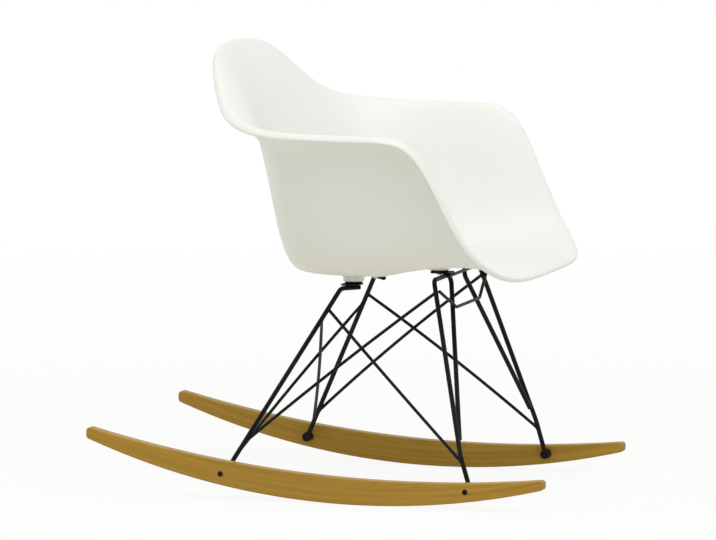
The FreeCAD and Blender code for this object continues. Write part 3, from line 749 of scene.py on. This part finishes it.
# %% Bolt heads
BOLT_HEAD = 0.0048
BOLT_HEAD_HIGH = 0.004
BOLT_ROUND = 0.0007
BOLT_ROUND_MID = BOLT_ROUND * 0.3
BOLT_SOCKET = 0.0026
BOLT_SOCKET_LEAD = BOLT_SOCKET * 1.08
BOLT_SOCKET_LEAD_DEEP = BOLT_ROUND * 0.4
BOLT_SOCKET_DEEP = 0.0024
HEX = 6
SIDES_PER_FLAT = 8


def hexagon(radius, height):
    """Points along six flats, as many as the round loops have."""
    tips = circle(radius, height, HEX)
    points = []
    for tip, following in zip(tips, tips[1:] + tips[:1]):
        points += [tip.lerp(following, step / SIDES_PER_FLAT) for step in range(SIDES_PER_FLAT)]
    return points


def socket_head(bm, top, axis):
    """A bolt head seen from outside, its top at the given place."""
    turn = turn_to(axis)
    outside = [(BOLT_HEAD, -BOLT_HEAD_HIGH), (BOLT_HEAD, -BOLT_ROUND),
               (BOLT_HEAD - BOLT_ROUND_MID, -BOLT_ROUND_MID), (BOLT_HEAD - BOLT_ROUND, 0.0)]
    inside = [(BOLT_SOCKET_LEAD, 0.0), (BOLT_SOCKET, -BOLT_SOCKET_LEAD_DEEP),
              (BOLT_SOCKET, -BOLT_SOCKET_DEEP)]
    loops = [circle(radius, height, HEX * SIDES_PER_FLAT) for radius, height in outside]
    loops += [hexagon(radius, height) for radius, height in inside]
    rings = [lay_ring(bm, loop, top, turn) for loop in loops]
    join_rings(bm, rings)
    bm.faces.new(rings[-1])
    bm.faces.new(list(reversed(rings[0])))


print("bolt head", 2 * BOLT_HEAD, "m across")

# %% [markdown]
# Inside the boss the bolt's thread can be seen at its open end. Ridges in a row look the same as a true
# helix at this size, and they can be spun like any other turned piece.

# %% Foot bolts
THREAD_PITCH = 0.001
THREAD_DEEP = 0.0005
SHANK_SIDES = 24
SHANK_CORE = 0.0002
BOLT_RADIUS = 0.00295
BOLT_SPARE = 0.0015
HEAD_SUNK = 0.0003
boss_inner_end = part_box("foot_boss_rear_left")[0][0]


def threaded_shank(bm, top, axis):
    """The shank from just inside the boss's open end to the head, with a row of thread ridges."""
    first = boss_inner_end + BOLT_SPARE
    last = abs(top.x) - BOLT_HEAD_HIGH
    start = Vector((math.copysign(first, axis.x), top.y, top.z))
    outline = [(SHANK_CORE, 0.0), (BOLT_RADIUS - 2 * THREAD_DEEP, 0.0)]
    for ridge in range(int((last - first) / THREAD_PITCH) - 1):
        base = THREAD_PITCH * (ridge + 0.5)
        outline += [(BOLT_RADIUS - THREAD_DEEP, base), (BOLT_RADIUS, base + THREAD_PITCH / 2)]
    outline += [(BOLT_RADIUS - THREAD_DEEP, last - first), (SHANK_CORE, last - first)]
    spin(bm, outline, start, axis, SHANK_SIDES)


bolt_tops = []
for end, side in CORNERS:
    seat = middle("foot_boss_%s_%s" % (end, side))
    low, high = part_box("rocker_runner_" + side)
    outward = 1.0 if side == "left" else -1.0
    seat.x = high[0] if side == "left" else low[0]
    bolt_tops.append((seat, Vector((outward, 0, 0))))


def all_bolts(bm):
    for top, axis in bolt_tops:
        socket_head(bm, top - axis * HEAD_SUNK, axis)
        threaded_shank(bm, top, axis)


bolts = add_piece("foot_bolt_heads", all_bolts, black_oxide)
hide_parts("foot_bolts")
dress("foot_washers", black_oxide)
print("foot bolts", len(bolt_tops))

# %% [markdown]
# Where a rod's cut end meets another rod or a boss, the welder leaves a bead: a small lumpy rope of melted
# steel under the coat. It follows the very edge where the two pieces meet, and a ring bent by hand would
# miss that edge somewhere, so it is taken from the meshes. The edge comes as loose short lines in any order.
# This first helper walks them from end to end.

# %% Outlines from loose edges
FEWEST_POINTS = 6


def outlines(edges):
    """The loops that the edges make when they are walked from end to end, as lists of points."""
    beside = {}
    for edge in edges:
        for vertex in edge.verts:
            beside.setdefault(vertex, []).append(edge)
    loops = []
    unused = set(edges)
    for edge in edges:
        if edge not in unused:
            continue
        vertex = edge.verts[0]
        loop = []
        while edge is not None:
            unused.discard(edge)
            loop.append(vertex.co.copy())
            vertex = edge.other_vert(vertex)
            edge = next((e for e in beside[vertex] if e in unused), None)
        if len(loop) >= FEWEST_POINTS:
            loops.append(loop)
    return loops


print("a seam has", FEWEST_POINTS, "points or more")

# %% [markdown]
# The faces of a rod whose corners all lie on its neighbour are the cut end, and their outline is the seam.
# A boolean of the two pieces would give the same line, but it is slow and fails where faces only just touch.
# A search tree answers how near the neighbour is, and does so quickly.

# %% Seam finder
TOUCHING = 0.0003
SAME_POINT = 1e-6


def search_tree(name):
    """A tree over a node's faces that finds the nearest point quickly."""
    mesh = nodes[name].data
    faces = [tuple(p.vertices) for p in mesh.polygons]
    return BVHTree.FromPolygons([v.co for v in mesh.vertices], faces)


def seams(name, neighbour):
    """The closed outlines of a rod's cut ends on its neighbour."""
    tree = search_tree(neighbour)
    bm = bmesh.new()
    bm.from_mesh(nodes[name].data)
    bmesh.ops.remove_doubles(bm, verts=bm.verts, dist=SAME_POINT)
    touching = {v for v in bm.verts if tree.find_nearest(v.co, TOUCHING)[0] is not None}
    cut_end = {f for f in bm.faces if touching.issuperset(f.verts)}
    found = outlines([e for e in bm.edges if len(cut_end.intersection(e.link_faces)) == 1])
    bm.free()
    return found


print("seam on a brace", [len(loop) for loop in seams("side_brace_rising_left", "rear_leg_left")])

# %% [markdown]
# A seam's points lie where the mesh happens to have its corners, close together in one place and far apart
# in another. The scales of a weld are even, so the line is walked and given new points at even steps.

# %% Even steps
BEAD_STEP = 0.0004
FEWEST_STEPS = 8
SHORTEST_LENGTH = 1e-9


def evenly(points, closed):
    """The same line with points at even steps."""
    line = points + points[:1] if closed else points
    lengths = [(b - a).length for a, b in zip(line, line[1:])]
    total = sum(lengths)
    count = max(FEWEST_STEPS, int(total / BEAD_STEP))
    even = []
    at = 0
    passed = 0.0
    for index in range(count if closed else count + 1):
        want = total * index / count
        while at < len(lengths) - 1 and passed + lengths[at] < want:
            passed += lengths[at]
            at += 1
        share = (want - passed) / max(lengths[at], SHORTEST_LENGTH)
        even.append(line[at].lerp(line[at + 1], share))
    return even


print("points along a weld", BEAD_STEP, "m apart")

# %% [markdown]
# A bead is a round section carried along the seam. Its thickness swells and shrinks in even steps, like the
# scales that a welding torch leaves, with a slower waver on top so that no two look the same. A curve with
# a round bevel would be quicker to make, but it would look like wire and not like a weld.

# %% Rope of weld
BEAD_SECTION = 8
SCALE_PITCH = 0.0012
SCALE_SWELL = 0.14
WAVER = 0.1
WAVER_PER_METRE = 900
WAVER_SHIFT = 300
END_TAPER = 0.12
END_THICK = 0.35


def swell_at(index, count, point, closed):
    """How thick the rope is at one of its points, as a share of its plain thickness."""
    run = index * BEAD_STEP
    scales = SCALE_SWELL * math.sin(2 * math.pi * run / SCALE_PITCH)
    swell = 1 + scales + WAVER * math.sin(run * WAVER_PER_METRE + point.x * WAVER_SHIFT)
    if not closed:
        from_end = min(index, count - 1 - index) / max(1, count * END_TAPER)
        swell *= min(1.0, END_THICK + (1 - END_THICK) * math.sqrt(from_end))
    return swell


def rope(bm, points, thick, closed):
    """A scaly rope of weld along a line."""
    line = evenly(points, closed)
    count = len(line)
    section = circle(1.0, 0.0, BEAD_SECTION)
    rings = []
    for index, point in enumerate(line):
        before = line[index - 1] if closed or index > 0 else point
        after = line[(index + 1) % count] if closed or index < count - 1 else point
        turn = turn_to((after - before).normalized())
        size = thick * swell_at(index, count, point, closed)
        rings.append(lay_ring(bm, [p * size for p in section], point, turn))
    if closed:
        join_rings(bm, rings + rings[:1])
    else:
        join_rings(bm, rings)
        bm.faces.new(rings[0])
        bm.faces.new(rings[-1])


print("weld scales", SCALE_PITCH, "m apart")

# %% [markdown]
# The side braces end on the rear legs and the hairpins, the rear cross braces on the rear legs, and the
# legs on the foot bosses. Every such pair is asked for its seams, and each seam that is found gets a bead.
# A pair that doesn't touch simply gives none, so the list can name more pairs than there are welds.

# %% Weld beads on the cut ends
BEAD = 0.0009
welded_ends = []
for side in SIDES:
    for leg in ("rear_leg_" + side, "front_hairpin_leg_" + side):
        welded_ends.append(("side_brace_rising_" + side, leg))
        welded_ends.append(("side_brace_falling_" + side, leg))
        welded_ends.append(("rear_cross_brace_from_" + side, leg))
    other = SIDES[1 - SIDES.index(side)]
    welded_ends.append(("rear_cross_brace_from_" + side, "rear_leg_" + other))
    welded_ends.append(("front_hairpin_leg_" + side, "foot_boss_front_" + side))
    welded_ends.append(("rear_leg_" + side, "foot_boss_rear_" + side))
found_seams = [loop for rod, neighbour in welded_ends for loop in seams(rod, neighbour)]


def end_beads(bm):
    for loop in found_seams:
        rope(bm, loop, BEAD, True)


add_piece("weld_beads_rod_ends", end_beads, powder_coat)
print("seams welded", len(found_seams))

# %% [markdown]
# The rail and the plates lie along other rods, and there the weld is a straight run in the groove between
# the two. Where they touch could be typed in, but it would be wrong after the next change of shape. It is
# found instead by walking along the edges of one piece and asking how near the other is.

# %% Lines of touch
WALK = 0.001
NEAR = 0.0005
BREAK = 0.006
SHORTEST = 0.008
END_SHARE = 12


def touching_places(name, neighbour):
    """Places on the neighbour that a piece's edges touch, each with the way out of the neighbour."""
    tree = search_tree(neighbour)
    mesh = nodes[name].data
    close = []
    for edge in mesh.edges:
        first, last = (mesh.vertices[i].co for i in edge.vertices)
        steps = max(1, int((last - first).length / WALK))
        for step in range(steps + 1):
            place, normal = tree.find_nearest(first.lerp(last, step / steps), NEAR)[:2]
            if place is not None:
                close.append((place, normal))
    return close


def touching_lines(name, neighbour):
    """The two ends of each line along which two pieces touch, and the way from one piece to the other."""
    close = touching_places(name, neighbour)
    if not close:
        return []
    spans = [max(p[k] for p, n in close) - min(p[k] for p, n in close) for k in range(3)]
    main = spans.index(max(spans))
    close.sort(key=lambda item: item[0][main])
    groups = [[close[0]]]
    for item in close[1:]:
        if item[0][main] - groups[-1][-1][0][main] > BREAK:
            groups.append([])
        groups[-1].append(item)
    lines = []
    for group in groups:
        count = max(1, len(group) // END_SHARE)
        first = sum((p for p, n in group[:count]), Vector()) / count
        last = sum((p for p, n in group[-count:]), Vector()) / count
        normal = sum((n for p, n in group), Vector()).normalized()
        if (last - first).length > SHORTEST:
            lines.append((first, last, normal))
    return lines


rail_lines = touching_lines("front_cross_rail", "front_hairpin_leg_left")
print("rail on a hairpin", [round((last - first).length, 4) for first, last, normal in rail_lines], "m")

# %% [markdown]
# A run goes to each side of a line of touch, a little out of it, where the torch can reach. A long line is
# welded only in its middle: heat along the whole length would bend the rods.

# %% Weld runs in the grooves
LONGEST = 0.018
GROOVE = 0.0019
RUN_THICK = 0.0011
groove_pairs = [("front_cross_rail", "front_hairpin_leg_" + side) for side in SIDES]
groove_pairs += [("mount_plate_front_" + side, "front_hairpin_leg_" + side) for side in SIDES]
groove_pairs += [("mount_plate_rear_" + side, "rear_leg_" + side) for side in SIDES]
weld_runs = []
for rod, neighbour in groove_pairs:
    for first, last, normal in touching_lines(rod, neighbour):
        centre = (first + last) / 2
        along = (last - first).normalized()
        half = min((last - first).length, LONGEST) / 2
        sideways = along.cross(normal).normalized() * GROOVE
        for side_step in (sideways, -sideways):
            weld_runs.append([centre - along * half + side_step, centre + along * half + side_step])


def groove_beads(bm):
    for run in weld_runs:
        rope(bm, run, RUN_THICK, False)


add_piece("weld_runs_rail_and_plates", groove_beads, powder_coat)
print("weld runs", len(weld_runs))

# %% [markdown]
# The two sides of each hairpin come together above the runner at a narrow angle. The welder fills that
# notch from in front and from behind with a short run. Both sides are one and the same piece, so no seam
# can be found between them, and the run is carried between their middle lines, which are given here by two
# points each.

# %% Hairpin welds
HAIRPIN_OUTER = (Vector((0.127, -0.176, 0.371)), Vector((0.2195, -0.252, 0.089)))
HAIRPIN_INNER = (Vector((0.031, -0.176, 0.371)), Vector((0.2035, -0.2455, 0.113)))
NOTCH_START = 0.001
NOTCH_RUN = 0.009
NOTCH_OUT = 0.002
NOTCH_THICK = 0.0013
NOTCH_SHARES = (0.0, 0.25, 0.5, 0.75, 1.0)
notches = [(sign, facing) for sign in (1, -1) for facing in (1, -1)]


def hairpin_beads(bm):
    up_outer = (HAIRPIN_OUTER[0] - HAIRPIN_OUTER[1]).normalized()
    up_inner = (HAIRPIN_INNER[0] - HAIRPIN_INNER[1]).normalized()
    for sign, facing in notches:
        points = []
        for share in NOTCH_SHARES:
            inner = HAIRPIN_INNER[1] + up_inner * (NOTCH_RUN * share + NOTCH_START)
            along_outer = (inner - HAIRPIN_OUTER[1]).dot(up_outer)
            outer = HAIRPIN_OUTER[1] + up_outer * along_outer
            out = (outer - inner).cross(up_outer).normalized() * (NOTCH_OUT * facing)
            point = (inner + outer) / 2 + out
            points.append(Vector((point.x * sign, point.y, point.z)))
        rope(bm, points, NOTCH_THICK, False)


add_piece("weld_runs_hairpins", hairpin_beads, powder_coat)
print("hairpin notches", len(notches))

# %% [markdown]
# Plastic can't be moulded with a sharp inside corner, so each boss under the shell flows into the wall with
# a small hollow round. A bevel would need the boss and the wall to be one clean mesh. Here a ring of quarter
# arcs is laid round each boss instead. Its upper edge has to follow the sloping wall, so for each direction
# a ray is sent straight up to find how high the wall is there.

# %% Rounds at the bosses' roots
BOSS_RADIUS = 0.018
ROUND = 0.0045
ROUND_STEPS = 6
ROUND_SIDES = 72
SINK = 0.0004
RAY_ASIDE = 0.0003
RAY_UNDER = 0.001
shell_tree = search_tree("seat_shell")
boss_feet = []
for end, side in CORNERS:
    foot = middle("rubber_mount_%s_%s" % (end, side))
    foot.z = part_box("rubber_mount_%s_%s" % (end, side))[1][2] - RAY_UNDER
    boss_feet.append(foot)


def wall_over(x, y, start_z):
    """The height of the shell's underside over a place."""
    return shell_tree.ray_cast(Vector((x, y, start_z)), UP)[0].z


def root_section(bm, foot, out):
    """The round's closed section in one direction from a boss's middle."""
    arc = []
    for step in range(ROUND_STEPS + 1):
        bend = math.pi / 2 * step / ROUND_STEPS
        reach = BOSS_RADIUS + ROUND * (1 - math.cos(bend))
        probe = reach + RAY_ASIDE
        wall_z = wall_over(foot.x + out.x * probe, foot.y + out.y * probe, foot.z)
        low_point = Vector((foot.x, foot.y, wall_z - ROUND * (1 - math.sin(bend))))
        arc.append(bm.verts.new(low_point + out * reach))
    inside = foot + out * (BOSS_RADIUS - SINK)
    under_boss = bm.verts.new(Vector((inside.x, inside.y, arc[0].co.z)))
    in_wall = bm.verts.new(arc[-1].co + UP * SINK)
    over_boss = bm.verts.new(Vector((inside.x, inside.y, in_wall.co.z)))
    return [under_boss] + arc + [in_wall, over_boss]


def boss_roots(bm):
    for foot in boss_feet:
        sections = [root_section(bm, foot, out) for out in circle(1.0, 0.0, ROUND_SIDES)]
        join_rings(bm, sections + sections[:1])


add_piece("shell_boss_rounds", boss_roots, shell_plastic)
print("boss rounds", len(boss_feet))
